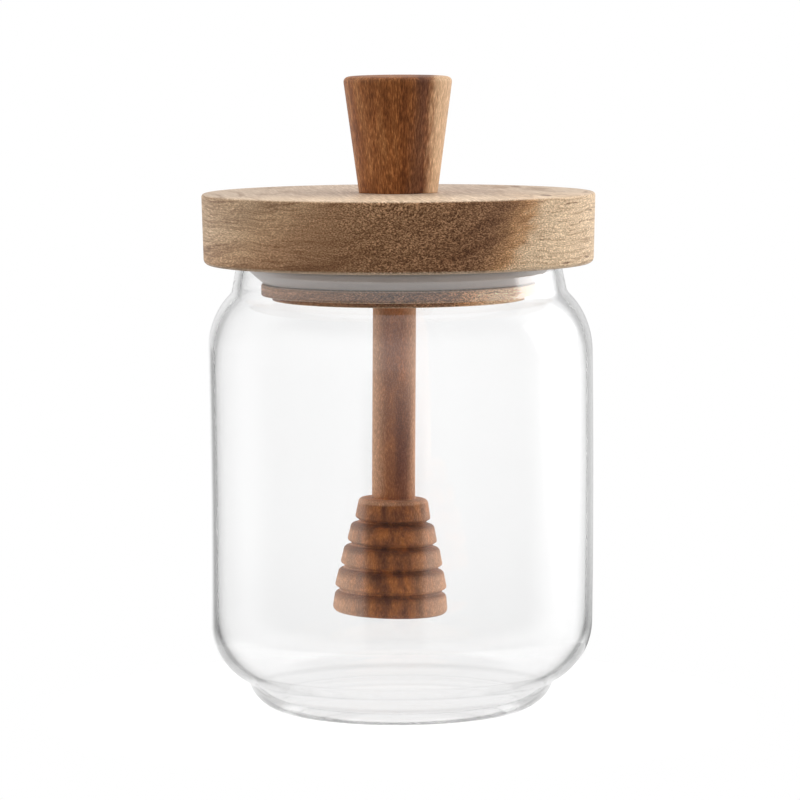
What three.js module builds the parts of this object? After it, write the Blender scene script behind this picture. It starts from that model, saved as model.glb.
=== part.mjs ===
// Glass honey pot with a wooden lid, a silicone seal, a turned knob and a honey dipper under the lid.
// Millimetres, +Z up. The origin is the middle of the foot, on the surface that the jar stands on.
// Every piece is turned, so each is one profile of radius and height swept round its own axis.

import * as THREE from "three";

// Heights of the main levels above the standing surface.
const LOWER_CURVE_Z = 22.0;
const SHOULDER_Z = 89.7;
const NECK_CREASE_Z = 104.4;
const RIM_Z = 111.6;
const LID_TOP_Z = 129.2;
const KNOB_TOP_Z = 158.4;

// Jar: outer radii, the two elliptic curves of the wall, and the glass thickness.
const FOOT_FLAT_RADIUS = 28.9;
const FOOT_CREASE_RADIUS = 38.35;
const FOOT_SLANT_DEG = 15;
const BODY_LOW_RADIUS = 47.8;
const BODY_HIGH_RADIUS = 48.0;
const LOWER_CURVE_ACROSS = 15.5;
const LOWER_CURVE_DEPTH = 16.0;
const SHOULDER_ACROSS = 15.2;
const SHOULDER_HEIGHT = 18.3;
const RIM_RADIUS = 40.6;
const LOW_WALL = 1.9;
const HIGH_WALL = 1.6;
const NECK_WALL = 2.1;
const RIM_ROUND = 0.8;
const FLOOR_THICKNESS = 2.8;
const FLOOR_FLAT_RADIUS = 27.0;

// Lid: a disc, with a narrower plug below it that carries the seal and ends in a flange and a thin step.
const LID_TOP_RADIUS = 49.0;
const LID_LOW_RADIUS = 48.6;
const LID_TOP_ROUND = 0.6;
const LID_LOW_ROUND = 1.4;
const PLUG_RADIUS = 31.5;
const FLANGE_RADIUS = 34.3;
const FLANGE_TOP_Z = 106.6;
const FLANGE_LOW_Z = 103.8;
const STEP_RADIUS = 31.6;
const PLUG_LOW_Z = 102.5;

// Seal: a conical ring in the groove between the disc and the flange.
const SEAL_RADIUS = 38.1;
const SEAL_LOW_RADIUS = 33.8;
const SEAL_LIP = 0.7;

// Knob: a turned cone with its wide end up and a low crown.
const KNOB_TOP_RADIUS = 13.5;
const KNOB_LOW_RADIUS = 9.8;
const KNOB_TOP_ROUND = 1.3;
const KNOB_CROWN = 0.4;
const KNOB_LOW_ROUND = 0.4;

// Dipper: a shaft that hangs from the plug and leans a little, and a head of rings with a tilt of its own.
const SHAFT_RADIUS = 5.4;
const SHAFT_LENGTH = 49.6;
const HEAD_LENGTH = 28.75;
const RING_COUNT = 5;
const TOP_RING_RADIUS = 9.1;
const LOW_RING_RADIUS = 14.35;
const RING_GROWTH = 1.45;
const RING_FLARE = 0.32;
const RING_EDGE = 0.5;
const HEAD_TOP_ROUND = 1.1;
const HEAD_LOW_ROUND = 1.4;
const GROOVE_WIDTH = 1.2;
const GROOVE_DEPTH = 1.2;
const DIPPER_LEAN_DEG = 0.6;
const HEAD_TILT_DEG = 1.4;
const DIPPER_TOP_X = -1.1;

// Clearance between pieces that fit together.
const FIT_GAP = 0.3;

// Sides of each turned piece, and steps along the large curves and the small rounded edges.
const WIDE_SIDES = 64;
const KNOB_SIDES = 40;
const DIPPER_SIDES = 32;
const CURVE_STEPS = 7;
const EDGE_STEPS = 4;

// Colour and roughness of each material.
const CLEAR_GLASS = { color: 0xf2f5f4, roughness: 0.03, metalness: 0 };
const LID_WOOD = { color: 0x9a7350, roughness: 0.6, metalness: 0 };
const SILICONE = { color: 0xaca59d, roughness: 0.5, metalness: 0 };
const KNOB_WOOD = { color: 0x7a4c2e, roughness: 0.55, metalness: 0 };
const DIPPER_WOOD = { color: 0x7d5138, roughness: 0.6, metalness: 0 };

const QUARTER_TURN = Math.PI / 2;

// Points on an ellipse about (radius, height), from one angle to another, both ends included.
function ellipseArc(radius, height, across, up, fromAngle, toAngle, steps) {
  const points = [];
  for (let i = 0; i <= steps; i += 1) {
    const angle = THREE.MathUtils.lerp(fromAngle, toAngle, i / steps);
    points.push([radius + across * Math.cos(angle), height + up * Math.sin(angle)]);
  }
  return points;
}

// A solid of revolution about +Z. The profile runs up the outside, so that its faces point out.
function turned(name, profile, sides, finish) {
  const points = profile.map(([radius, height]) => new THREE.Vector2(radius, height));
  const geometry = new THREE.LatheGeometry(points, sides);
  geometry.rotateX(QUARTER_TURN);
  const mesh = new THREE.Mesh(geometry, new THREE.MeshStandardMaterial(finish));
  mesh.name = name;
  return mesh;
}

// One face of the jar below the body: the flat foot's rounded edge, then the lower curve.
// The inner face is set in from the outer one by the inset.
function baseFace(inset, flatRadius, flatZ) {
  const centre = BODY_LOW_RADIUS - LOWER_CURVE_ACROSS;
  const across = LOWER_CURVE_ACROSS - inset;
  const depth = LOWER_CURVE_DEPTH - inset;
  const creaseRadius = FOOT_CREASE_RADIUS - inset;
  const creaseAngle = -Math.acos((creaseRadius - centre) / across);
  const creaseZ = LOWER_CURVE_Z + depth * Math.sin(creaseAngle);
  const slant = THREE.MathUtils.degToRad(FOOT_SLANT_DEG);
  const footAcross = (creaseRadius - flatRadius) / Math.cos(slant);
  const footUp = (creaseZ - flatZ) / (1 - Math.sin(slant));
  const foot = ellipseArc(
    flatRadius, flatZ + footUp, footAcross, footUp, -QUARTER_TURN, -slant, CURVE_STEPS);
  const lower = ellipseArc(centre, LOWER_CURVE_Z, across, depth, creaseAngle, 0, CURVE_STEPS);
  return [...foot, ...lower.slice(1)];
}

// One face of the jar above the body: the shoulder, then the neck up to the rim's rounded edge.
function neckFace(shoulderInset, neckInset) {
  const neckAngle = Math.asin((NECK_CREASE_Z - SHOULDER_Z) / SHOULDER_HEIGHT);
  const shoulder = ellipseArc(BODY_HIGH_RADIUS - SHOULDER_ACROSS, SHOULDER_Z,
    SHOULDER_ACROSS - shoulderInset, SHOULDER_HEIGHT - shoulderInset, 0, neckAngle, CURVE_STEPS);
  return [...shoulder, [RIM_RADIUS - neckInset, RIM_Z - RIM_ROUND]];
}

// The glass jar is one thin wall in three solids that meet face to face. This is its floor and lower curve.
function jarBase() {
  const outside = baseFace(0, FOOT_FLAT_RADIUS, 0);
  const inside = baseFace(LOW_WALL, FLOOR_FLAT_RADIUS, FLOOR_THICKNESS);
  const profile = [[0, 0], ...outside, ...inside.reverse(), [0, FLOOR_THICKNESS]];
  return turned("jar_base", profile, WIDE_SIDES, CLEAR_GLASS);
}

// The jar's nearly straight body, a tube that widens and thins a little upwards.
function jarBody() {
  const profile = [
    [BODY_LOW_RADIUS, LOWER_CURVE_Z],
    [BODY_HIGH_RADIUS, SHOULDER_Z],
    [BODY_HIGH_RADIUS - HIGH_WALL, SHOULDER_Z],
    [BODY_LOW_RADIUS - LOW_WALL, LOWER_CURVE_Z],
    [BODY_LOW_RADIUS, LOWER_CURVE_Z],
  ];
  return turned("jar_body", profile, WIDE_SIDES, CLEAR_GLASS);
}

// The jar's shoulder and short neck, with a rounded rim round the open mouth.
function jarNeck() {
  const outside = neckFace(0, 0);
  const inside = neckFace(HIGH_WALL, NECK_WALL);
  const rim = [
    [RIM_RADIUS - RIM_ROUND, RIM_Z],
    [RIM_RADIUS - NECK_WALL + RIM_ROUND, RIM_Z],
  ];
  const profile = [...outside, ...rim, ...inside.reverse(), outside[0]];
  return turned("jar_neck", profile, WIDE_SIDES, CLEAR_GLASS);
}

// Wooden lid: the disc that covers the mouth and the stepped plug that hangs into the neck.
function lid() {
  const profile = [
    [0, PLUG_LOW_Z],
    [STEP_RADIUS, PLUG_LOW_Z],
    [STEP_RADIUS, FLANGE_LOW_Z],
    [FLANGE_RADIUS, FLANGE_LOW_Z],
    [FLANGE_RADIUS, FLANGE_TOP_Z],
    [PLUG_RADIUS, FLANGE_TOP_Z],
    [PLUG_RADIUS, RIM_Z],
    ...ellipseArc(LID_LOW_RADIUS - LID_LOW_ROUND, RIM_Z + LID_LOW_ROUND,
      LID_LOW_ROUND, LID_LOW_ROUND, -QUARTER_TURN, 0, EDGE_STEPS),
    ...ellipseArc(LID_TOP_RADIUS - LID_TOP_ROUND, LID_TOP_Z - LID_TOP_ROUND,
      LID_TOP_ROUND, LID_TOP_ROUND, 0, QUARTER_TURN, EDGE_STEPS),
    [0, LID_TOP_Z],
  ];
  return turned("lid", profile, WIDE_SIDES, LID_WOOD);
}

// Silicone seal: a ring whose outside is a cone that presses into the neck as the lid goes on.
function sealRing() {
  const low = FLANGE_TOP_Z + FIT_GAP;
  const high = RIM_Z - FIT_GAP;
  const bore = PLUG_RADIUS + FIT_GAP;
  const profile = [
    [bore, low],
    [SEAL_LOW_RADIUS, low],
    [SEAL_RADIUS, high - SEAL_LIP],
    [SEAL_RADIUS, high],
    [bore, high],
    [bore, low],
  ];
  return turned("seal_ring", profile, WIDE_SIDES, SILICONE);
}

// Turned wooden knob that stands on the lid and widens upwards.
function knob() {
  const profile = [
    [0, LID_TOP_Z],
    [KNOB_LOW_RADIUS - KNOB_LOW_ROUND, LID_TOP_Z],
    [KNOB_LOW_RADIUS, LID_TOP_Z + KNOB_LOW_ROUND],
    ...ellipseArc(KNOB_TOP_RADIUS - KNOB_TOP_ROUND, KNOB_TOP_Z - KNOB_CROWN - KNOB_TOP_ROUND,
      KNOB_TOP_ROUND, KNOB_TOP_ROUND, 0, QUARTER_TURN, EDGE_STEPS),
    [0, KNOB_TOP_Z],
  ];
  return turned("knob", profile, KNOB_SIDES, KNOB_WOOD);
}

// Middle radius of a ring of the dipper's head: it grows downwards, fast at first and then slower.
function ringRadius(ring) {
  const left = 1 - ring / (RING_COUNT - 1);
  return THREE.MathUtils.lerp(LOW_RING_RADIUS, TOP_RING_RADIUS, left ** RING_GROWTH);
}

// The head's rings from the bottom up, each flared to its worn lower edge and with a groove above it.
function headProfile(topZ) {
  const pitch = HEAD_LENGTH / RING_COUNT;
  const points = [];
  for (let ring = RING_COUNT - 1; ring >= 0; ring -= 1) {
    const first = ring === 0;
    const last = ring === RING_COUNT - 1;
    const highZ = topZ - ring * pitch - (first ? 0 : GROOVE_WIDTH / 2);
    const lowZ = topZ - (ring + 1) * pitch + (last ? 0 : GROOVE_WIDTH / 2);
    const highRadius = ringRadius(ring) - RING_FLARE;
    const lowRadius = ringRadius(ring) + (last ? 0 : RING_FLARE);
    const highEdge = first ? HEAD_TOP_ROUND : RING_EDGE;
    const lowEdge = last ? HEAD_LOW_ROUND : RING_EDGE;
    points.push([lowRadius - lowEdge, lowZ]);
    points.push([lowRadius, lowZ + lowEdge]);
    points.push([highRadius, highZ - highEdge]);
    points.push([highRadius - highEdge, highZ]);
    if (!first) {
      const grooveRadius = ringRadius(ring - 1) + RING_FLARE - GROOVE_DEPTH;
      points.push([grooveRadius, highZ]);
      points.push([grooveRadius, highZ + GROOVE_WIDTH]);
    }
  }
  return points;
}

// Turns every point of the head about the middle of its top, by the head's own tilt.
function tiltHead(geometry) {
  const tilt = new THREE.Matrix4().makeTranslation(0, 0, -SHAFT_LENGTH);
  tilt.multiply(new THREE.Matrix4().makeRotationY(THREE.MathUtils.degToRad(HEAD_TILT_DEG)));
  tilt.multiply(new THREE.Matrix4().makeTranslation(0, 0, SHAFT_LENGTH));
  const places = geometry.attributes.position;
  const point = new THREE.Vector3();
  for (let i = 0; i < places.count; i += 1) {
    point.fromBufferAttribute(places, i);
    if (point.z < -SHAFT_LENGTH / 2) {
      point.applyMatrix4(tilt);
      places.setXYZ(i, point.x, point.y, point.z);
    }
  }
}

// Honey dipper: its own axis runs down from the top of the shaft, and the group gives it its lean.
function dipper() {
  const profile = [
    [0, -SHAFT_LENGTH - HEAD_LENGTH],
    ...headProfile(-SHAFT_LENGTH),
    [SHAFT_RADIUS, -SHAFT_LENGTH],
    [SHAFT_RADIUS, 0],
    [0, 0],
  ];
  const mesh = turned("dipper", profile, DIPPER_SIDES, DIPPER_WOOD);
  tiltHead(mesh.geometry);
  const leaning = new THREE.Group();
  leaning.position.set(DIPPER_TOP_X, 0, PLUG_LOW_Z - FIT_GAP);
  leaning.rotation.y = THREE.MathUtils.degToRad(DIPPER_LEAN_DEG);
  leaning.add(mesh);
  return leaning;
}

const honeyPot = new THREE.Group();
honeyPot.add(jarBase(), jarBody(), jarNeck(), lid(), sealRing(), knob(), dipper());

export default honeyPot;
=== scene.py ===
"""Dressed model of a glass honey pot with a wooden lid, a silicone seal, a knob and a dipper.

Every piece is a surface of revolution worked out with numpy from a profile of radius and height.
The wood is a solid pattern on Object coordinates, so that end grain and long grain meet at the edges.
"""

import math

import bpy
import numpy as np
from mathutils import Matrix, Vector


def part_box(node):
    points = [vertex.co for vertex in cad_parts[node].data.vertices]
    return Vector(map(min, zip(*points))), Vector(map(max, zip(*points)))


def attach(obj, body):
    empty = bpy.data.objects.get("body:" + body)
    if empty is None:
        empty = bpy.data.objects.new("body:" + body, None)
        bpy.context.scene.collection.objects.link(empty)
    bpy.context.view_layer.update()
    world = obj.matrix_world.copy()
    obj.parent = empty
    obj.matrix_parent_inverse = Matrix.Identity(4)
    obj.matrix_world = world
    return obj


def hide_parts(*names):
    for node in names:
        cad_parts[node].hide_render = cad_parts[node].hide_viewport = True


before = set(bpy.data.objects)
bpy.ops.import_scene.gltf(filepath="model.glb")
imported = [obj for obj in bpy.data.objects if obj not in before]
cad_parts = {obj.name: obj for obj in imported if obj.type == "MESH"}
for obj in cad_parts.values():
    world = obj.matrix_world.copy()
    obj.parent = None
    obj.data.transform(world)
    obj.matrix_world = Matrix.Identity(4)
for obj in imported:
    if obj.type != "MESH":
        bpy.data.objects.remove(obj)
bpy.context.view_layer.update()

MM = 0.001


def solid_box(node):
    """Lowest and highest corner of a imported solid, in millimetres."""
    return [np.array(corner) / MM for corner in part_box(node)]


body_low, body_high = solid_box("jar_body")
neck_high = solid_box("jar_neck")[1]
lid_low, lid_high = solid_box("lid")
seal_low, seal_high = solid_box("seal_ring")
knob_low, knob_high = solid_box("knob")
dipper_high = solid_box("dipper")[1]

# Jar: levels, radii and glass thickness.
LOWER_CURVE_Z = body_low[2]
SHOULDER_Z = body_high[2]
RIM_Z = neck_high[2]
BODY_RADIUS = body_high[0]
BODY_LOW_RADIUS = BODY_RADIUS - 0.2
LOWER_CURVE_ACROSS = 15.5
LOWER_CURVE_DEPTH = 16.0
SHOULDER_ACROSS = 15.2
SHOULDER_HEIGHT = 18.3
NECK_CREASE_Z = 104.4
RIM_RADIUS = 40.6
FOOT_FLAT_RADIUS = 28.9
FOOT_CREASE_RADIUS = 38.35
FOOT_SLANT_DEG = 15.0
LOWER_CURVE_CENTRE = BODY_LOW_RADIUS - LOWER_CURVE_ACROSS
FOOT_CREASE_DEG = -math.degrees(math.acos((FOOT_CREASE_RADIUS - LOWER_CURVE_CENTRE) / LOWER_CURVE_ACROSS))
FOOT_CREASE_Z = LOWER_CURVE_Z + LOWER_CURVE_DEPTH * math.sin(math.radians(FOOT_CREASE_DEG))
LOW_WALL = 1.9
HIGH_WALL = 1.6
NECK_WALL = 2.1
RIM_ROUND = 0.8
RIM_CLEARANCE = 0.05
FLOOR_THICKNESS = 2.8
BLOWN_DRIFT = 0.5
GLASS_SOFTENING = 2.0

# Lid: the disc, and the plug below it with its seal groove, its flange and a thin lower step.
LID_TOP_Z = lid_high[2]
LID_MIDDLE_Z = 0.5 * (RIM_Z + LID_TOP_Z)
LID_TOP_RADIUS = lid_high[0]
LID_LOW_RADIUS = LID_TOP_RADIUS - 0.4
LID_TOP_ROUND = 0.6
LID_LOW_ROUND = 1.4
PLUG_RADIUS = 31.5
PLUG_LOW_Z = lid_low[2]
FLANGE_RADIUS = 34.3
FLANGE_TOP_Z = 106.6
FLANGE_LOW_Z = PLUG_LOW_Z + 1.3
STEP_RADIUS = 31.6
LID_SOFTENING = 0.6

# Seal: a cone in the groove, with a short lip where it meets the lid.
SEAL_RADIUS = seal_high[0]
SEAL_TOP_Z = seal_high[2]
SEAL_LOW_Z = seal_low[2]
SEAL_BORE = PLUG_RADIUS + 0.3
SEAL_LOW_RADIUS = 33.8
SEAL_LIP = 0.7
SEAL_SOFTENING = 0.6

# Knob: a cone with its wide end up, slightly crowned.
KNOB_TOP_Z = knob_high[2]
KNOB_LOW_Z = knob_low[2]
KNOB_TOP_RADIUS = knob_high[0]
KNOB_LOW_RADIUS = 9.8
KNOB_TOP_ROUND = 1.3
KNOB_CROWN = 0.4
KNOB_SOFTENING = 0.6

# Dipper: a shaft that leans from the lid's plug, and a head of rings with a tilt of its own.
DIPPER_TOP_X = -1.1
DIPPER_TOP_Z = dipper_high[2]
DIPPER_LEAN_DEG = 0.6
HEAD_TILT_DEG = 1.4
TILT_BLEND = 4.0
SHAFT_RADIUS = 5.4
SHAFT_LENGTH = 49.6
HEAD_LENGTH = 28.75
HEAD_TOP_ROUND = 1.1
HEAD_LOW_ROUND = 1.4
RING_COUNT = 5
TOP_RING_RADIUS = 9.1
LOW_RING_RADIUS = 14.35
RING_GROWTH = 1.45
RING_FLARE = 0.32
RING_HIGH_EDGE = 1.1
RING_LOW_EDGE = 0.5
GROOVE_WIDTH = 1.2
GROOVE_DEPTH = 1.2
DIPPER_SOFTENING = 0.9

# Facets: sides round each piece and the spacing of points along its profile.
JAR_SIDES = 192
LID_SIDES = 160
KNOB_SIDES = 96
DIPPER_SIDES = 96
ON_AXIS = 1e-6
JAR_STEP = 0.7
RIM_STEPS = 10
LID_STEP = 0.3
SMALL_STEP = 0.2

# Camera: the photograph's frame is 800 pixels square, a quarter of a millimetre each at the jar's axis.
FRAME_PIXELS = 800
PIXEL = 0.25 * MM
CAMERA_DISTANCE = 1.1
CAMERA_HEIGHT = 0.1787
AIM_HEIGHT = 0.0773
AXIS_PIXEL = 399.4
CAMERA_ROLL_DEG = -0.3


# Profiles

def arc(radius, height, across, up, from_deg, to_deg, steps=24):
    """Points (radius + across cos a, height + up sin a) for the angle a from one end to the other."""
    angle = np.radians(np.linspace(from_deg, to_deg, steps))
    return np.stack([radius + across * np.cos(angle), height + up * np.sin(angle)], axis=1)


def path(*stretches):
    """One profile from single points (radius, height) and stretches of points, in order."""
    return np.concatenate([np.reshape(stretch, (-1, 2)) for stretch in stretches])


def even(profile, step):
    """The profile again with points about one step apart, by its length so far."""
    length = np.concatenate([[0.0], np.cumsum(np.hypot(*np.diff(profile, axis=0).T))])
    keep = np.concatenate([[True], np.diff(length) > 0])
    places = np.linspace(0.0, length[-1], int(length[-1] / step) + 1)
    return np.stack([np.interp(places, length[keep], side) for side in profile[keep].T], axis=1)


def softened(profile, step, reach):
    """Rounds every corner: each point becomes the weighted mean of the profile over the reach.

    The weights are a raised cosine. The ends are mirrored through themselves, so they stay in place.
    """
    points = even(profile, step)
    half = max(1, round(0.5 * reach / step))
    weights = np.hanning(2 * half + 3)[1:-1]
    weights = weights / weights.sum()
    before = 2 * points[0] - points[half:0:-1]
    after = 2 * points[-1] - points[-2:-half - 2:-1]
    padded = np.concatenate([before, points, after])
    return np.stack([np.convolve(side, weights, mode="valid") for side in padded.T], axis=1)


# Meshes

def turned(name, profile, sides, shift=None):
    """Surface of revolution S(u, v) = (r(v) sin u, -r(v) cos u, z(v)), in millimetres.

    The profile runs up the outside. Where it starts and ends on the axis, each end is one pole vertex;
    otherwise it closes on itself. The shift moves whole arrays of x, y and z before they become metres.
    """
    on_axis = abs(profile[0, 0]) < ON_AXIS
    rows = profile[1:-1] if on_axis else profile[:-1]
    count = len(rows)
    turn = 2 * np.pi * np.arange(sides)[:, None] / sides
    radius, height = rows[None, :, 0], rows[None, :, 1]
    flat = np.broadcast_to(height, (sides, count))
    points = np.stack([radius * np.sin(turn), -radius * np.cos(turn), flat], axis=2).reshape(-1, 3)
    if on_axis:
        poles = [[0.0, 0.0, profile[0, 1]], [0.0, 0.0, profile[-1, 1]]]
        points = np.concatenate([points, poles])

    side = np.arange(sides)[:, None]
    step = np.arange(count - 1 if on_axis else count)[None, :]
    here, beside = side * count, (side + 1) % sides * count
    above = (step + 1) % count
    quads = np.stack([here + step, beside + step, beside + above, here + above], axis=2).reshape(-1, 4)
    faces = quads.tolist()
    if on_axis:
        ring, next_ring = here[:, 0], beside[:, 0]
        low_pole = np.full(sides, sides * count)
        top = count - 1
        faces += np.stack([low_pole, next_ring, ring], axis=1).tolist()
        faces += np.stack([low_pole + 1, ring + top, next_ring + top], axis=1).tolist()

    if shift is not None:
        points = shift(points)
    mesh = bpy.data.meshes.new(name)
    mesh.from_pydata((points * MM).tolist(), [], faces)
    mesh.polygons.foreach_set("use_smooth", np.ones(len(mesh.polygons), dtype=bool))
    mesh.update()
    piece = bpy.data.objects.new(name, mesh)
    bpy.context.scene.collection.objects.link(piece)
    return piece


def dressed(piece, nodes, material):
    """Gives a piece its finish, hangs it on the body and hides the solids that it stands for."""
    piece.data.materials.append(material)
    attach(piece, "root")
    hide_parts(*nodes)


# Pieces

def wall_outside(rim_z):
    """Outer face of the glass from its flat foot to the rim: three elliptic arcs and a straight body."""
    slant = math.radians(FOOT_SLANT_DEG)
    foot_across = (FOOT_CREASE_RADIUS - FOOT_FLAT_RADIUS) / math.cos(slant)
    foot_up = FOOT_CREASE_Z / (1 - math.sin(slant))
    neck_deg = math.degrees(math.asin((NECK_CREASE_Z - SHOULDER_Z) / SHOULDER_HEIGHT))
    return path(
        (0, 0),
        arc(FOOT_FLAT_RADIUS, foot_up, foot_across, foot_up, -90, -FOOT_SLANT_DEG),
        arc(LOWER_CURVE_CENTRE, LOWER_CURVE_Z, LOWER_CURVE_ACROSS, LOWER_CURVE_DEPTH, FOOT_CREASE_DEG, 0),
        arc(BODY_RADIUS - SHOULDER_ACROSS, SHOULDER_Z, SHOULDER_ACROSS, SHOULDER_HEIGHT, 0, neck_deg),
        (RIM_RADIUS, rim_z - RIM_ROUND),
    )


def wall_inside(outside):
    """Inner face of the glass: the outer face moved in along its normal (-dz, dr) by the glass's thickness.

    The thickness runs straight by height between its values at the floor, foot, body, shoulder and neck.
    """
    along = np.gradient(outside, axis=0)
    normal = np.stack([-along[:, 1], along[:, 0]], axis=1) / np.hypot(*along.T)[:, None]
    levels = (0.0, FOOT_CREASE_Z, LOWER_CURVE_Z, SHOULDER_Z, NECK_CREASE_Z)
    values = (FLOOR_THICKNESS, LOW_WALL, LOW_WALL, HIGH_WALL, NECK_WALL)
    thickness = np.interp(outside[:, 1], levels, values)
    return outside + normal * thickness[:, None]


def blown(points):
    """Slight unevenness of blown glass: the axis drifts sideways as half a sine wave over the height."""
    drift = BLOWN_DRIFT * np.sin(np.pi * points[:, 2] / RIM_Z)
    return points + np.stack([drift, 0 * drift, 0 * drift], axis=1)


def glass_jar(material):
    """Clear jar: outer face up, over the round rim, inner face down to the middle of the floor.

    The attribute outer_face is 1 on the outer face and 0 on the rim and inside.
    """
    rim_z = RIM_Z - RIM_CLEARANCE
    outside = softened(wall_outside(rim_z), JAR_STEP, GLASS_SOFTENING)
    half_wall = 0.5 * NECK_WALL
    rim = arc(RIM_RADIUS - half_wall, rim_z - RIM_ROUND, half_wall, RIM_ROUND, 0, 180, RIM_STEPS)
    profile = path(outside, rim[1:-1], wall_inside(outside)[::-1])
    piece = turned("jar_glass", profile, JAR_SIDES, blown)
    is_outer = (np.arange(len(profile)) < len(outside)).astype(float)
    on_points = np.concatenate([np.tile(is_outer[1:-1], JAR_SIDES), is_outer[[0, -1]]])
    piece.data.attributes.new("outer_face", "FLOAT", "POINT").data.foreach_set("value", on_points)
    dressed(piece, ["jar_base", "jar_body", "jar_neck"], material)


def wooden_lid(material):
    """Lid: a plug with a thin lower step, a flange and the seal's groove, then the disc with round edges."""
    profile = path(
        (0, PLUG_LOW_Z),
        (STEP_RADIUS, PLUG_LOW_Z),
        (STEP_RADIUS, FLANGE_LOW_Z),
        (FLANGE_RADIUS, FLANGE_LOW_Z),
        (FLANGE_RADIUS, FLANGE_TOP_Z),
        (PLUG_RADIUS, FLANGE_TOP_Z),
        (PLUG_RADIUS, RIM_Z),
        arc(LID_LOW_RADIUS - LID_LOW_ROUND, RIM_Z + LID_LOW_ROUND, LID_LOW_ROUND, LID_LOW_ROUND, -90, 0),
        arc(LID_TOP_RADIUS - LID_TOP_ROUND, LID_TOP_Z - LID_TOP_ROUND, LID_TOP_ROUND, LID_TOP_ROUND, 0, 90),
        (0, LID_TOP_Z),
    )
    piece = turned("lid_wood", softened(profile, LID_STEP, LID_SOFTENING), LID_SIDES)
    dressed(piece, ["lid"], material)


def seal_ring(material):
    """Seal: a cone that widens upwards to a short upright lip, closed on itself round the plug."""
    profile = path(
        (SEAL_BORE, SEAL_TOP_Z),
        (SEAL_BORE, SEAL_LOW_Z),
        (SEAL_LOW_RADIUS, SEAL_LOW_Z),
        (SEAL_RADIUS, SEAL_TOP_Z - SEAL_LIP),
        (SEAL_RADIUS, SEAL_TOP_Z),
        (SEAL_BORE, SEAL_TOP_Z),
    )
    piece = turned("seal_silicone", softened(profile, SMALL_STEP, SEAL_SOFTENING), LID_SIDES)
    dressed(piece, ["seal_ring"], material)


def turned_knob(material):
    """Knob: a cone with a rounded upper edge and a low crowned top."""
    shoulder_z = KNOB_TOP_Z - KNOB_CROWN - KNOB_TOP_ROUND
    flat_radius = KNOB_TOP_RADIUS - KNOB_TOP_ROUND
    profile = path(
        (0, KNOB_LOW_Z),
        (KNOB_LOW_RADIUS, KNOB_LOW_Z),
        arc(flat_radius, shoulder_z, KNOB_TOP_ROUND, KNOB_TOP_ROUND, 0, 80),
        arc(0, KNOB_TOP_Z - KNOB_CROWN, flat_radius, KNOB_CROWN, 8, 90),
    )
    piece = turned("knob_wood", softened(profile, SMALL_STEP, KNOB_SOFTENING), KNOB_SIDES)
    dressed(piece, ["knob"], material)


def ring_radius(ring):
    """Middle radius of a ring: it grows downwards as a power of the share of rings that are left."""
    left = 1 - ring / (RING_COUNT - 1)
    return LOW_RING_RADIUS + (TOP_RING_RADIUS - LOW_RING_RADIUS) * left ** RING_GROWTH


def head_rings():
    """The head from its bottom up: rings that flare to their lower edge, with a groove between each two."""
    pitch = HEAD_LENGTH / RING_COUNT
    stretches = []
    for ring in reversed(range(RING_COUNT)):
        first = ring == 0
        last = ring == RING_COUNT - 1
        high_z = -SHAFT_LENGTH - ring * pitch - (0 if first else 0.5 * GROOVE_WIDTH)
        low_z = -SHAFT_LENGTH - (ring + 1) * pitch + (0 if last else 0.5 * GROOVE_WIDTH)
        high_radius = ring_radius(ring) - RING_FLARE
        low_radius = ring_radius(ring) + (0 if last else RING_FLARE)
        high_edge = HEAD_TOP_ROUND if first else RING_HIGH_EDGE
        low_edge = HEAD_LOW_ROUND if last else RING_LOW_EDGE
        stretches.append(arc(low_radius - low_edge, low_z + low_edge, low_edge, low_edge, -90, 0))
        stretches.append(arc(high_radius - high_edge, high_z - high_edge, high_edge, high_edge, 0, 90))
        if not first:
            groove_radius = ring_radius(ring - 1) + RING_FLARE - GROOVE_DEPTH
            stretches.append((groove_radius, high_z + 0.5 * GROOVE_WIDTH))
    return path(*stretches)


def turned_about_y(points, degrees):
    """Points turned about the Y axis, so that what hangs below the origin swings towards -X."""
    angle = math.radians(degrees)
    x, y, z = points.T
    return np.stack([x * math.cos(angle) + z * math.sin(angle), y,
                     z * math.cos(angle) - x * math.sin(angle)], axis=1)


def leaned(points):
    """Tilts the head about the middle of its top, then leans the whole dipper and hangs it under the plug.

    The tilt fades to nothing over a short stretch of the shaft above the head.
    """
    head_top = np.array([0.0, 0.0, -SHAFT_LENGTH])
    tilted = turned_about_y(points - head_top, HEAD_TILT_DEG) + head_top
    straight = np.clip((points[:, 2:] + SHAFT_LENGTH) / TILT_BLEND, 0, 1)
    bent = tilted + straight * (points - tilted)
    return turned_about_y(bent, DIPPER_LEAN_DEG) + [DIPPER_TOP_X, 0, DIPPER_TOP_Z]


def honey_dipper(material):
    """Dipper: ringed conical head, then the straight shaft up to the lid's plug."""
    profile = path(
        (0, -SHAFT_LENGTH - HEAD_LENGTH),
        head_rings(),
        (SHAFT_RADIUS, -SHAFT_LENGTH),
        (SHAFT_RADIUS, 0),
        (0, 0),
    )
    piece = turned("dipper_wood", softened(profile, SMALL_STEP, DIPPER_SOFTENING), DIPPER_SIDES, leaned)
    dressed(piece, ["dipper"], material)


# Shader expressions

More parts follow.
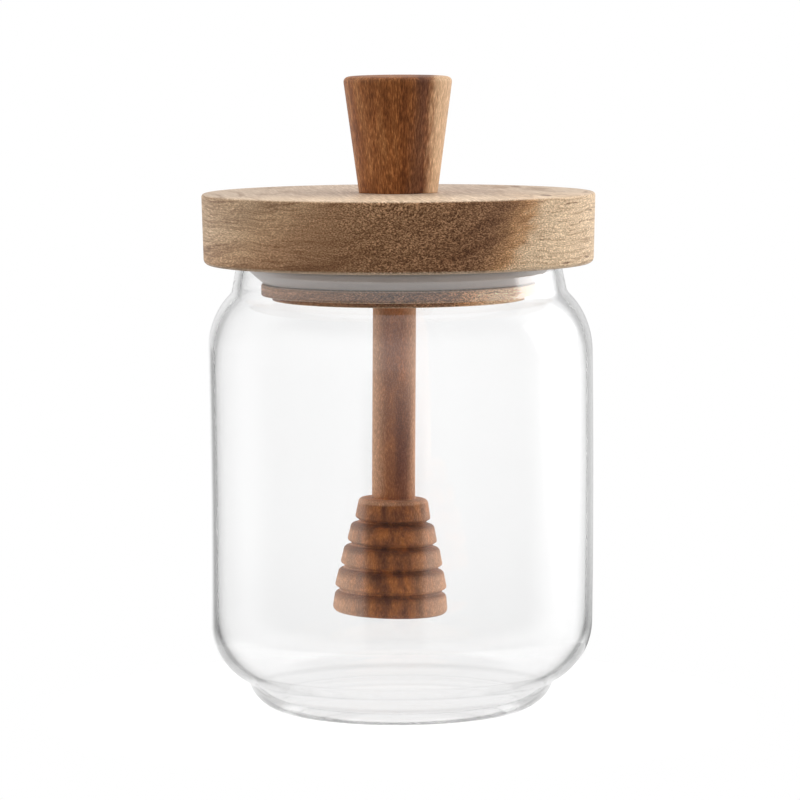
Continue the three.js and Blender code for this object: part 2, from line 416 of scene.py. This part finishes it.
class Shade:
    """An output socket in a node tree. Arithmetic on it adds Math nodes, with numbers or other sockets."""

    def __init__(self, tree, socket):
        self.tree = tree
        self.socket = socket

    def math(self, operation, *values):
        """A Math node of this operation on these values."""
        return self.tree.node("ShaderNodeMath", {"operation": operation}, dict(enumerate(values)))

    def __add__(self, other):
        return self.math("ADD", self, other)

    def __radd__(self, other):
        return self.math("ADD", other, self)

    def __sub__(self, other):
        return self.math("SUBTRACT", self, other)

    def __rsub__(self, other):
        return self.math("SUBTRACT", other, self)

    def __mul__(self, other):
        return self.math("MULTIPLY", self, other)

    def __rmul__(self, other):
        return self.math("MULTIPLY", other, self)

    def __truediv__(self, other):
        return self.math("DIVIDE", self, other)

    def __abs__(self):
        return self.math("ABSOLUTE", self)

    def rise(self, low, high):
        """Rises smoothly from 0 at the low value to 1 at the high one."""
        settings = {"interpolation_type": "SMOOTHSTEP"}
        inputs = {"Value": self, "From Min": low, "From Max": high}
        return self.tree.node("ShaderNodeMapRange", settings, inputs)

    def fall(self, low, high):
        """Falls smoothly from 1 at the low value to 0 at the high one."""
        return 1 - self.rise(low, high)

    def between(self, low, high, soft):
        """1 between two values and 0 outside them, with soft edges."""
        return self.rise(low - soft, low + soft) * self.fall(high - soft, high + soft)

    def towards(self, other, share):
        """This value where the share is 0, the other one where it is 1, and a straight mix between."""
        return self + share * (other - self)


class Tree:
    """A node tree of a material or of the world, written as expressions."""

    def __init__(self, owner):
        owner.use_nodes = True
        self.nodes = owner.node_tree.nodes
        self.links = owner.node_tree.links
        self.nodes.clear()

    def node(self, kind, settings=None, inputs=None, output=0):
        """Adds a node: first its settings, then the values or links of its sockets."""
        made = self.nodes.new(kind)
        for name, setting in (settings or {}).items():
            if name == "stops":
                self.set_stops(made.color_ramp, setting)
            else:
                setattr(made, name, setting)
        for name, value in (inputs or {}).items():
            if isinstance(value, Shade):
                self.links.new(value.socket, made.inputs[name])
            else:
                made.inputs[name].default_value = value
        return Shade(self, made.outputs[output]) if len(made.outputs) else None

    @staticmethod
    def set_stops(ramp, stops):
        """Gives a colour ramp these (place, colour) stops."""
        while len(ramp.elements) < len(stops):
            ramp.elements.new(1.0)
        for element, (place, colour) in zip(ramp.elements, stops):
            element.position = place
            element.color = colour

    def millimetres(self, turn_deg=0.0):
        """Object coordinates in millimetres, turned about Z."""
        place = self.node("ShaderNodeTexCoord", output="Object")
        turn = (0, 0, math.radians(turn_deg))
        inputs = {"Vector": place, "Rotation": turn, "Scale": (1 / MM, 1 / MM, 1 / MM)}
        return self.node("ShaderNodeMapping", {"vector_type": "POINT"}, inputs)

    def flatness(self):
        """0 where the surface is upright and 1 where it lies flat, either way up."""
        return abs(self.sides(self.node("ShaderNodeNewGeometry", output="Normal"))[2])

    def sides(self, place):
        """The X, Y and Z of a vector."""
        return [self.node("ShaderNodeSeparateXYZ", None, {0: place}, side) for side in range(3)]

    def vector(self, *sides):
        """A vector from three values."""
        return self.node("ShaderNodeCombineXYZ", None, dict(enumerate(sides)))

    def noise(self, place, size, detail=2.0, rough=0.55, seed=0.0):
        """Noise from 0 to 1, about 0.5, whose features have these sizes along X, Y and Z."""
        scale = tuple(1 / side for side in size)
        spot = self.node("ShaderNodeMapping", {"vector_type": "POINT"},
                         {"Vector": place, "Location": (seed, seed, seed), "Scale": scale})
        return self.node("ShaderNodeTexNoise", {"noise_dimensions": "3D"},
                         {"Vector": spot, "Scale": 1.0, "Detail": detail, "Roughness": rough})

    def blend(self, factor, first, second, mode="MIX"):
        """Mixes two colours by a factor from 0 to 1."""
        settings = {"data_type": "RGBA", "blend_type": mode}
        return self.node("ShaderNodeMix", settings, {0: factor, 6: first, 7: second}, 2)

    def ramp(self, value, *stops):
        """A colour ramp through (place, colour) stops."""
        return self.node("ShaderNodeValToRGB", {"stops": stops}, {0: value})

    def bump(self, height, strength, depth_mm):
        """A normal from a height of 0 to 1."""
        inputs = {"Strength": strength, "Distance": depth_mm * MM, "Height": height}
        return self.node("ShaderNodeBump", None, inputs)

    def surface(self, **sockets):
        """A Principled BSDF with these sockets and the output that it feeds."""
        inputs = {name.replace("_", " "): value for name, value in sockets.items()}
        shader = self.node("ShaderNodeBsdfPrincipled", {"distribution": "MULTI_GGX"}, inputs)
        self.node("ShaderNodeOutputMaterial", None, {"Surface": shader})


def rgb(red, green, blue):
    """Linear colour, with full alpha, of an sRGB colour given from 0 to 255."""
    share = np.array([red, green, blue]) / 255.0
    linear = np.where(share <= 0.04045, share / 12.92, ((share + 0.055) / 1.055) ** 2.4)
    return (*linear.tolist(), 1.0)


def new_finish(name):
    """An empty material and its tree."""
    material = bpy.data.materials.new(name)
    return material, Tree(material)


# Wood: the sizes of its patterns are in millimetres along X, Y and Z

PORE_SHADE = (0.3, 0.24, 0.2, 1.0)
FLECK_SHADE = (2.35, 2.55, 2.8, 1.0)
OILED_GLOSS = 0.12
BARE_GLOSS = 0.1


def wood_surface(tree, place, wood, pore_size, depth, gloss, seed):
    """Wood with fine dark pores, and pale flecks between them, of this size along X, Y and Z.

    One noise gives both: its high values are pores and its low ones flecks.
    """
    grain = tree.noise(place, pore_size, 2.0, 0.65, seed)
    wood = tree.blend(grain.rise(0.48, 0.66) * depth, wood, PORE_SHADE, "MULTIPLY")
    wood = tree.blend((1 - grain).rise(0.5, 0.68) * depth, wood, FLECK_SHADE, "MULTIPLY")
    tree.surface(
        Base_Color=wood,
        Roughness=0.4 + 0.2 * grain,
        Specular_IOR_Level=gloss,
        Normal=tree.bump(1 - grain, 0.25, 0.1),
    )


LID_GRAIN_TURN_DEG = -8.0
LID_WANDER = (13, 80, 13)
LID_BANDS = (26, 70, 2.8)
LID_RAGS = (3, 24, 1.6)
LID_STREAKS = (8, 34, 0.45)
LID_CRACKS = (5, 16, 0.7)
LID_PORES = (0.42, 14, 0.25)
LAYER_CURVE = 0.0037
HEART_FROM_LEFT = 60.0
HEART_SLANT = 1.2
LID_TONES = (
    (0.02, rgb(198, 167, 133)),
    (0.17, rgb(194, 157, 120)),
    (0.32, rgb(178, 137, 101)),
    (0.6, rgb(160, 119, 85)),
    (1.0, rgb(138, 99, 69)),
)
LID_SAP_X = 26.5
LID_SAP_SLANT = 0.57
LID_SAP_EDGE = rgb(196, 148, 102)
LID_SAP = rgb(226, 197, 162)
FLAT_FRONT_TONE_AND_SHEEN = rgb(232, 206, 176)
FLAT_BACK_TONE_AND_SHADE = rgb(196, 176, 156)
CRACK_BROWN = rgb(104, 66, 42)
BAND_SHADE = (0.62, 0.55, 0.5, 1.0)
STREAK_SHADE = (0.66, 0.59, 0.54, 1.0)
PLUG_SHADE = (1.35, 1.3, 1.3, 1.0)


def lid_finish():
    """Plank with its grain from front to back: pale on the left, a dark heart and pale sapwood on the right.

    The growth layers are parabolas over the width that rise to the right, and the dark bands follow them.
    Streaks, cracks and pores lie level. The flat faces are paler than the end grain of the side, partly their
    own tone and partly painted sheen, with painted shading from palest at the front to darker at the back.
    The plug is paler too.
    """
    material, tree = new_finish("lid acacia")
    place = tree.millimetres(LID_GRAIN_TURN_DEG)
    x, y, z = tree.sides(place)
    up = z - LID_MIDDLE_Z
    wander = tree.noise(place, LID_WANDER) - 0.5
    from_left = x + LID_TOP_RADIUS
    layered = tree.vector(x, y, up - LAYER_CURVE * from_left * from_left + wander * 7.0)
    level = tree.vector(x, y, up + wander * 5.0)

    wood = tree.ramp((from_left - up * HEART_SLANT + wander * 12.0) / HEART_FROM_LEFT, *LID_TONES)
    bands = tree.noise(layered, LID_BANDS, 3.0)
    wood = tree.blend(bands.rise(0.45, 0.7) * 0.8, wood, BAND_SHADE, "MULTIPLY")

    edge = x - LID_SAP_X - up * LID_SAP_SLANT + wander * 6.0
    ragged = tree.noise(layered, LID_RAGS, 3.0, seed=4.0) - 0.5
    sap = (edge + ragged * 10.0).rise(-14.0, 5.5)
    wood = tree.blend(sap.rise(0.0, 0.6), wood, LID_SAP_EDGE)
    wood = tree.blend(sap.rise(0.4, 1.0), wood, LID_SAP)

    flat = tree.flatness().rise(0.3, 0.95)
    # Painted sheen and shading on the flat faces, over their own paler tone: palest at the front, darker at
    # the back.
    flat_tone_and_painted_sheen = tree.blend((y + LID_TOP_RADIUS).rise(8.0, 50.0), FLAT_FRONT_TONE_AND_SHEEN, FLAT_BACK_TONE_AND_SHADE)
    wood = tree.blend(flat * 0.8, wood, flat_tone_and_painted_sheen)

    ends = abs(x).rise(6.0, 34.0)
    streaks = tree.noise(level, LID_STREAKS, 3.0, seed=11.0)
    wood = tree.blend(streaks.rise(0.46, 0.7) * ends, wood, STREAK_SHADE, "MULTIPLY")
    cracks = tree.noise(level, LID_CRACKS, 1.0, seed=23.0)
    wood = tree.blend(cracks.rise(0.66, 0.74) * sap * 0.7, wood, CRACK_BROWN)
    wood = tree.blend(z.fall(FLANGE_TOP_Z, RIM_Z), wood, PLUG_SHADE, "MULTIPLY")
    depth = (1.0 - 0.6 * ends) * (1.0 - 0.7 * flat)
    wood_surface(tree, level, wood, LID_PORES, depth, OILED_GLOSS, seed=9.0)
    return material


KNOB_WANDER = (4, 4, 20)
KNOB_STREAKS = (3.4, 3.4, 40)
KNOB_RAGS = (0.9, 0.9, 7)
KNOB_PORES = (0.32, 0.32, 3.0)
KNOB_TONES = (
    (0.28, rgb(112, 64, 34)),
    (0.5, rgb(144, 89, 49)),
    (0.72, rgb(170, 115, 70)),
)
KNOB_SAP_X = 6.8
KNOB_SAP_SLANT = 0.078
KNOB_DARK_BAND = rgb(96, 60, 44)
KNOB_SAP = rgb(212, 174, 136)


def knob_finish():
    """Upright grain: warm brown in broad streaks, then a dark band and pale sapwood on the right."""
    material, tree = new_finish("knob acacia")
    place = tree.millimetres()
    x, _, z = tree.sides(place)
    wander = tree.noise(place, KNOB_WANDER) - 0.5
    wood = tree.ramp(tree.noise(place, KNOB_STREAKS, 3.0, seed=2.0), *KNOB_TONES)
    ragged = tree.noise(place, KNOB_RAGS, 3.0, seed=6.0) - 0.5
    edge = x - KNOB_SAP_X - KNOB_SAP_SLANT * (z - KNOB_LOW_Z) + wander * 2.4 + ragged * 3.0
    sap = edge.rise(-1.2, 2.0)
    wood = tree.blend(edge.between(-4.4, -0.4, 1.6) * 0.7, wood, KNOB_DARK_BAND)
    wood = tree.blend(sap, wood, KNOB_SAP)
    wood_surface(tree, place, wood, KNOB_PORES, 0.55 - 0.25 * sap, OILED_GLOSS, seed=5.0)
    return material


DIPPER_STREAKS = (2.8, 2.8, 6.5)
DIPPER_WANDER = (3, 3, 18)
DIPPER_PORES = (0.3, 0.3, 0.9)
DIPPER_TONES = (
    (0.34, rgb(106, 62, 38)),
    (0.5, rgb(140, 84, 48)),
    (0.66, rgb(178, 108, 56)),
)
HEAD_X = -2.0
HEAD_TOP_Z = DIPPER_TOP_Z - SHAFT_LENGTH
SHAFT_BROWN = rgb(138, 84, 50)
SHAFT_SHADE = (1.4, 1.48, 1.65, 1.0)
DIPPER_PAINTED_SIDE_LIGHT = rgb(210, 162, 126)
GROOVE_PAINTED_SHADE = (0.6, 0.54, 0.5, 1.0)
HEAD_RIM_PAINTED_HIGHLIGHT = rgb(214, 166, 132)
DARK_STREAK = rgb(92, 48, 38)
DARK_STREAK_X = 0.6
DARK_STREAK_LOW_Z = 52.0
DARK_STREAK_HIGH_Z = 78.0


def dipper_finish():
    """Grain along the shaft: reddish brown in broad streaks, with one dark streak low on the shaft.

    The wood has painted side light, paler towards the left and right sides, and the shaft is paler than the
    head. The rings have painted shade below each groove, and the head's upper rim has a pale painted
    highlight.
    """
    material, tree = new_finish("dipper acacia")
    place = tree.millimetres()
    x, _, z = tree.sides(place)
    wood = tree.ramp(tree.noise(place, DIPPER_STREAKS, 3.0, seed=7.0), *DIPPER_TONES)
    shaft = z.rise(HEAD_TOP_Z - 1.0, HEAD_TOP_Z + 2.0)
    wood = tree.blend(shaft * 0.65, wood, SHAFT_BROWN)
    wood = tree.blend(shaft, wood, SHAFT_SHADE, "MULTIPLY")
    # Painted side light: the wood is paler towards its left and right sides.
    side = abs(x - HEAD_X).rise(3.0, 13.0).towards(abs(x - DIPPER_TOP_X).rise(1.5, 5.6), shaft)
    wood = tree.blend(side * (0.66 + 0.2 * shaft), wood, DIPPER_PAINTED_SIDE_LIGHT)

    ring = (HEAD_TOP_Z - z) / (HEAD_LENGTH / RING_COUNT)
    # Painted shade below each groove, where the ring above shades the one below.
    painted_groove_shade = ring.math("FRACT", ring).fall(0.12, 0.42) * ring.rise(0.8, 0.9)
    wood = tree.blend(painted_groove_shade * (1 - shaft), wood, GROOVE_PAINTED_SHADE, "MULTIPLY")
    # Painted highlight along the head's upper rim.
    wood = tree.blend(z.between(HEAD_TOP_Z - 1.0, HEAD_TOP_Z + 0.1, 0.3) * 0.5, wood, HEAD_RIM_PAINTED_HIGHLIGHT)

    wander = tree.noise(place, DIPPER_WANDER, seed=13.0) - 0.5
    across = (x - DARK_STREAK_X + wander * 3.0).between(-1.7, 2.2, 1.0)
    along = z.between(DARK_STREAK_LOW_Z, DARK_STREAK_HIGH_Z, 10.0)
    wood = tree.blend(across * along * 0.7, wood, DARK_STREAK)
    wood_surface(tree, place, wood, DIPPER_PORES, 0.28, BARE_GLOSS, seed=3.0)
    return material


# Silicone and glass

SILICONE_MOTTLE = (2.5, 2.5, 1.2)
SILICONE_GREY = rgb(200, 190, 184)
SILICONE_PALE = rgb(212, 203, 197)


def silicone_finish():
    """Cloudy grey-white silicone with faint moulding mottle."""
    material, tree = new_finish("cloudy silicone")
    mottle = tree.noise(tree.millimetres(), SILICONE_MOTTLE, 3.0)
    tree.surface(
        Base_Color=tree.blend(mottle, SILICONE_GREY, SILICONE_PALE),
        Roughness=0.36 + 0.14 * mottle,
        Specular_IOR_Level=0.4,
    )
    return material


GLASS_GLOSS_INDEX = 1.7
WALL_BENDING = 1.01
FOOT_RING_PAINTED_SHADE = (0.78, 0.78, 0.78, 1.0)
CLEAR_TINT = rgb(253, 253, 253)
EDGE_PAINTED_SHADE_GREYS = (
    (0.58, 1.0),
    (0.64, 0.95),
    (0.705, 0.82),
    (0.745, 0.48),
    (0.785, 0.53),
    (0.84, 0.74),
    (0.93, 0.93),
)
SHOULDER_SOONER = 0.06
LOWER_CURVE_SOONER = 0.07
MOST_TURNED = 0.95
LOWER_CURVE_TURNED = 0.8
FOOT_RING_LOW_Z = 4.1
FOOT_RING_HIGH_Z = 5.1
GLASS_WAVES = (22, 22, 40)


def glass_finish():
    """Clear glass: a grey tint where the wall is seen edge on, and a faint ring where the foot turns in.

    The edge greys are painted shade, partly for the grey of the longer way through the wall and partly for
    the dark that the glass bends and mirrors at its edges. They are read by how far the outer face turns
    away, a little sooner on the shoulder and the lower curve. The lower curve and the foot take the tint
    twice, and the foot's crease hardly at all, which leaves a painted light line there. The faint ring at the
    foot is painted shade for what the foot bends into view. The thin wall hardly bends what is seen through
    it, so the refraction is weak, and a clear gloss mirrors the studio.
    """
    material, tree = new_finish("clear glass")
    place = tree.millimetres()
    z = tree.sides(place)[2]
    outer = tree.node("ShaderNodeAttribute", {"attribute_name": "outer_face"}, output="Fac")
    flat = tree.flatness().rise(0.99, 0.999)
    facing = tree.node("ShaderNodeLayerWeight", None, {"Blend": 0.5}, "Facing")
    low = z.rise(FOOT_CREASE_Z - 1.0, FOOT_CREASE_Z + 2.0) * z.fall(LOWER_CURVE_Z - 6.0, LOWER_CURVE_Z + 4.0)
    shoulder = z.rise(SHOULDER_Z - 6.0, SHOULDER_Z + 8.0)
    turning = facing + SHOULDER_SOONER * shoulder + LOWER_CURVE_SOONER * low
    turning = turning.math("MINIMUM", turning, MOST_TURNED + (LOWER_CURVE_TURNED - MOST_TURNED) * low)
    # Painted light line: the foot's crease is left nearly free of the painted edge shade.
    crease = z.between(FOOT_CREASE_Z - 2.4, FOOT_CREASE_Z + 3.0, 1.2)
    foot = z.fall(FOOT_CREASE_Z - 4.0, FOOT_CREASE_Z - 2.0)
    # Painted edge shade: grey where the outer face turns away from view.
    edge = tree.ramp(turning, *[(stop, (grey, grey, grey, 1.0)) for stop, grey in EDGE_PAINTED_SHADE_GREYS])
    painted_edge_shade_mask = outer * (1 - flat) * (1 - 0.8 * crease)
    tint = tree.blend(painted_edge_shade_mask, CLEAR_TINT, edge)
    tint = tree.blend(painted_edge_shade_mask * (low + 0.7 * foot), tint, edge, "MULTIPLY")
    # Painted shade: a faint dark ring standing in for what the foot bends into view.
    foot_ring_painted_shade = outer * z.between(FOOT_RING_LOW_Z, FOOT_RING_HIGH_Z, 0.5)
    tint = tree.blend(foot_ring_painted_shade, tint, FOOT_RING_PAINTED_SHADE, "MULTIPLY")
    waves = tree.noise(place, GLASS_WAVES, 1.0)
    tree.surface(
        Base_Color=tint,
        Roughness=0.0,
        IOR=WALL_BENDING,
        Transmission_Weight=1.0,
        Coat_Weight=1.0,
        Coat_IOR=GLASS_GLOSS_INDEX,
        Coat_Roughness=0.0,
        Normal=tree.bump(waves, 0.02, 0.5),
    )
    return material


# Studio: directions are degrees of azimuth from the camera's side, positive to the right, and of elevation

LEFT_LIGHT = (-140.0, -50.0)
LEFT_LIGHT_POWER = 1.4
RIGHT_LIGHT = (45.0, 140.0)
RIGHT_LIGHT_POWER = 1.7
SIDE_LIGHT_LEVELS = (-15.0, 60.0)
BACKGROUND_SPREAD = (31.0, 59.0)
BACKGROUND_POWER = 0.7
TOP_LIGHT_START = (50.0, 70.0)
TOP_LIGHT_POWER = 0.8
DIM_LIGHT = 0.2


def lighting_pattern(azimuth, elevation, behind):
    """What lights the pieces: a large soft light on either side, a lit background and light from above."""
    left = azimuth.between(*LEFT_LIGHT, 14.0) * LEFT_LIGHT_POWER
    right = azimuth.between(*RIGHT_LIGHT, 14.0) * RIGHT_LIGHT_POWER
    sides = (left + right) * elevation.between(*SIDE_LIGHT_LEVELS, 10.0)
    background = behind.fall(*BACKGROUND_SPREAD) * BACKGROUND_POWER
    top = elevation.rise(*TOP_LIGHT_START) * TOP_LIGHT_POWER
    return DIM_LIGHT + sides + background + top


TABLE_EDGE = (-17.0, -8.0)
TABLE_POWER = 0.8
HIGH_LEVELS = (6.0, 30.0)
PANELS_START = (-115.0, -75.0)
PANELS_END = (126.0, 150.0)
PANEL_POWER = 0.95
UPPER_PANELS = (-7.0, -4.6)
UPPER_PANEL_EXTRA = 0.35
HIGH_PANEL_EXTRA = 0.1
CAMERA_GAP = (-22.0, 13.0)
CAMERA_GAP_FOOT = (-9.0, -7.8)
STRIP_START = (87.0, 96.0)
STRIP_END = (124.0, 142.0)
STRIP_FOOT = (-8.0, -6.0)
STRIP_POWER = 0.2
HIGH_STRIP_EXTRA = 4.5


def mirrored_panels(azimuth, elevation, high):
    """Panels from the left round to the right, dim low down by the camera, and a strip on the right."""
    upper = elevation.rise(*UPPER_PANELS)
    gap = azimuth.between(*CAMERA_GAP, 3.0) * (1 - upper) * (0.6 + 0.4 * elevation.rise(*CAMERA_GAP_FOOT))
    panels = azimuth.rise(*PANELS_START) * azimuth.fall(*PANELS_END) * (1 - gap) * elevation.rise(*TABLE_EDGE)
    panels = panels * (PANEL_POWER + UPPER_PANEL_EXTRA * upper + HIGH_PANEL_EXTRA * high)
    strip = azimuth.rise(*STRIP_START) * azimuth.fall(*STRIP_END) * elevation.rise(*STRIP_FOOT)
    return panels + strip * (STRIP_POWER + HIGH_STRIP_EXTRA * high)


WALL_LEVELS = (-8.0, -3.5)
SHOULDER_LEVEL = (-4.5, -2.0)
BACK_SPREAD = (25.0, 40.0)
BACK_POWER = 0.1
LEFT_WALL_SPREAD = (14.0, 26.0)
LEFT_SHOULDER_SPREAD = (22.0, 42.0)
LEFT_SHOULDER_POWER = 0.55
LEFT_HIGH_SPREAD = (30.0, 60.0)
LEFT_HIGH_POWER = 0.2
RIGHT_SPREAD = (32.0, 48.0)
RIGHT_WALL_POWER = 0.45
RIGHT_SHOULDER_POWER = 0.4
RIGHT_LOW_GLINT = (24.0, 55.0)
RIGHT_LOW_GLINT_POWER = 0.6
RIGHT_LOW_DIM = (10.0, 24.0)
RIGHT_LOW_DIM_POWER = 0.3


def mirrored_back(azimuth, elevation, behind, high):
    """Soft light behind the jar, which the glass mirrors where it is seen edge on.

    Each side has a part for the straight wall, one for the shoulder, which mirrors what is further up, and
    one for the lower curve, which mirrors what is below.
    """
    above = elevation.rise(*TABLE_EDGE)
    upward = elevation.rise(*SHOULDER_LEVEL)
    left_wall = behind.fall(*LEFT_WALL_SPREAD) * (1 - upward) * (0.5 + 0.35 * above)
    left_shoulder = behind.fall(*LEFT_SHOULDER_SPREAD) * upward * LEFT_SHOULDER_POWER
    left = left_wall + left_shoulder + behind.fall(*LEFT_HIGH_SPREAD) * high * LEFT_HIGH_POWER
    right_levels = elevation.between(*WALL_LEVELS, 1.5) * RIGHT_WALL_POWER + upward * RIGHT_SHOULDER_POWER
    glint = behind.between(*RIGHT_LOW_GLINT, 8.0) * RIGHT_LOW_GLINT_POWER
    dim = behind.fall(*RIGHT_LOW_DIM) * RIGHT_LOW_DIM_POWER
    right = behind.fall(*RIGHT_SPREAD) * right_levels + (1 - above) * (glint - dim)
    return behind.fall(*BACK_SPREAD) * BACK_POWER + left.towards(right, azimuth.rise(-1.0, 1.0))


CEILING_START = (20.0, 45.0)
CEILING_POWER = 0.4
CEILING_RIGHT_EXTRA = 0.55
DIM_MIRRORED = 0.05


def mirrored_pattern(x, azimuth, elevation, behind):
    """What the glass mirrors: panels, light behind, the pale table below and a ceiling, dim on the left."""
    high = elevation.between(*HIGH_LEVELS, 4.0)
    table = elevation.fall(*TABLE_EDGE) * TABLE_POWER
    panels = mirrored_panels(azimuth, elevation, high)
    around = panels + table + mirrored_back(azimuth, elevation, behind, high)
    ceiling = CEILING_POWER + CEILING_RIGHT_EXTRA * x.rise(-0.6, -0.1)
    return DIM_MIRRORED + around.towards(ceiling, elevation.rise(*CEILING_START))


ECHO_START = (60.0, 100.0)
ECHO_POWER = 0.1


def through_pattern(elevation, behind, mirrored_before):
    """What is seen through the glass: bright all round, a little dimmer below and above the jar's middle.

    For light that the glass mirrored on its way, the echo, it is dark in front.
    """
    clear = 1.03 + 0.1 * elevation.rise(-9.0, -6.5) - 0.035 * elevation.rise(-5.0, -3.8)
    echo = clear.towards(ECHO_POWER, behind.rise(*ECHO_START))
    return clear.towards(echo, mirrored_before)


def studio_dome():
    """World light by direction: one pattern lights the pieces, and the glass mirrors one and shows another.

    The angle behind is how far a direction is from straight behind the jar. The camera sees plain white.
    """
    world = bpy.data.worlds.new("studio")
    bpy.context.scene.world = world
    tree = Tree(world)
    x, y, z = tree.sides(tree.node("ShaderNodeTexCoord", output="Generated"))
    azimuth = x.math("ARCTAN2", x, y * -1.0) * math.degrees(1.0)
    elevation = z.math("ARCSINE", z) * math.degrees(1.0)
    behind = 180.0 - abs(azimuth)

    def ray(kind):
        """What the light path says of a ray."""
        return tree.node("ShaderNodeLightPath", output=kind)

    def bounced(kind):
        """1 for a ray that has bounced in this way at least once, and otherwise 0."""
        count = ray(kind)
        return count.math("GREATER_THAN", count, 0.5)

    lighting = lighting_pattern(azimuth, elevation, behind)
    mirrored = mirrored_pattern(x, azimuth, elevation, behind)
    through = through_pattern(elevation, behind, bounced("Glossy Depth"))
    in_glass = mirrored.towards(through, ray("Is Transmission Ray"))
    sharp = ray("Is Singular Ray") * (1 - bounced("Diffuse Depth"))
    light = lighting.towards(in_glass, sharp)
    strength = light.towards(1.0, ray("Is Camera Ray"))
    shader = tree.node("ShaderNodeBackground", None, {"Color": (1, 1, 1, 1), "Strength": strength})
    tree.node("ShaderNodeOutputWorld", None, {"Surface": shader})


FLOOR_RADIUS = 90.0
FLOOR_DEPTH = 2.0
FLOOR_GAP = 0.1
FLOOR_STEP = 4.0
FLOOR_PAINTED_SHADE_UNDER_JAR = (0.73, 0.73, 0.73, 1.0)
FLOOR_RIM = (0.84, 0.84, 0.84, 1.0)
FLOOR_WHITE = (1.02, 1.02, 1.02, 1.0)
FLOOR_MATTE = (0.15, 0.15, 0.15, 1.0)


def studio_floor():
    """Pale round floor just under the foot, bright enough to run into the white background.

    Through the glass and in it, the floor's glow has painted shade, greyer under the jar, and runs into the
    background at its rim.
    """
    floor_top = -FLOOR_GAP
    profile = path((0, -FLOOR_DEPTH), (FLOOR_RADIUS, -FLOOR_DEPTH), (FLOOR_RADIUS, floor_top), (0, floor_top))
    floor = turned("studio_floor", even(profile, FLOOR_STEP), LID_SIDES)
    material, tree = new_finish("pale floor")
    x, y, _ = tree.sides(tree.millimetres())
    radius = x.math("SQRT", x * x + y * y)
    seen = tree.node("ShaderNodeLightPath", output="Is Camera Ray")
    # Painted shade in the floor's glow: greyer under the jar, as seen through the glass.
    shade = tree.blend(radius.rise(40.0, 85.0), FLOOR_PAINTED_SHADE_UNDER_JAR, FLOOR_RIM)
    shade = tree.blend(seen, shade, FLOOR_WHITE)
    glow = tree.node("ShaderNodeEmission", None, {"Color": shade})
    matte = tree.node("ShaderNodeBsdfDiffuse", None, {"Color": FLOOR_MATTE})
    both = tree.node("ShaderNodeAddShader", None, {0: glow, 1: matte})
    tree.node("ShaderNodeOutputMaterial", None, {"Surface": both})
    floor.data.materials.append(material)


def photo_camera():
    """Camera in front of the jar, at the photograph's height and tilt, framed to its 800 pixels."""
    drop = CAMERA_HEIGHT - AIM_HEIGHT
    reach = math.hypot(CAMERA_DISTANCE, drop)
    data = bpy.data.cameras.new("photo_camera")
    data.sensor_fit = "HORIZONTAL"
    data.angle = 2 * math.atan(0.5 * FRAME_PIXELS * PIXEL / reach)
    data.clip_start = 0.01
    camera = bpy.data.objects.new("photo_camera", data)
    camera.location = ((0.5 * FRAME_PIXELS - AXIS_PIXEL) * PIXEL, -CAMERA_DISTANCE, CAMERA_HEIGHT)
    tilt = Matrix.Rotation(0.5 * math.pi - math.atan2(drop, CAMERA_DISTANCE), 3, "X")
    roll = Matrix.Rotation(math.radians(CAMERA_ROLL_DEG), 3, "Z")
    camera.rotation_euler = (tilt @ roll).to_euler()
    bpy.context.scene.collection.objects.link(camera)
    bpy.context.scene.camera = camera


LIGHT_BOUNCES = 24


def studio_settings():
    """Plain colours, and enough bounces for light that runs along inside the glass."""
    scene = bpy.context.scene
    scene.view_settings.view_transform = "Standard"
    scene.cycles.max_bounces = LIGHT_BOUNCES
    scene.cycles.glossy_bounces = LIGHT_BOUNCES
    scene.cycles.transmission_bounces = LIGHT_BOUNCES


photo_camera()
studio_dome()
studio_floor()
studio_settings()
glass_jar(glass_finish())
wooden_lid(lid_finish())
seal_ring(silicone_finish())
turned_knob(knob_finish())
honey_dipper(dipper_finish())
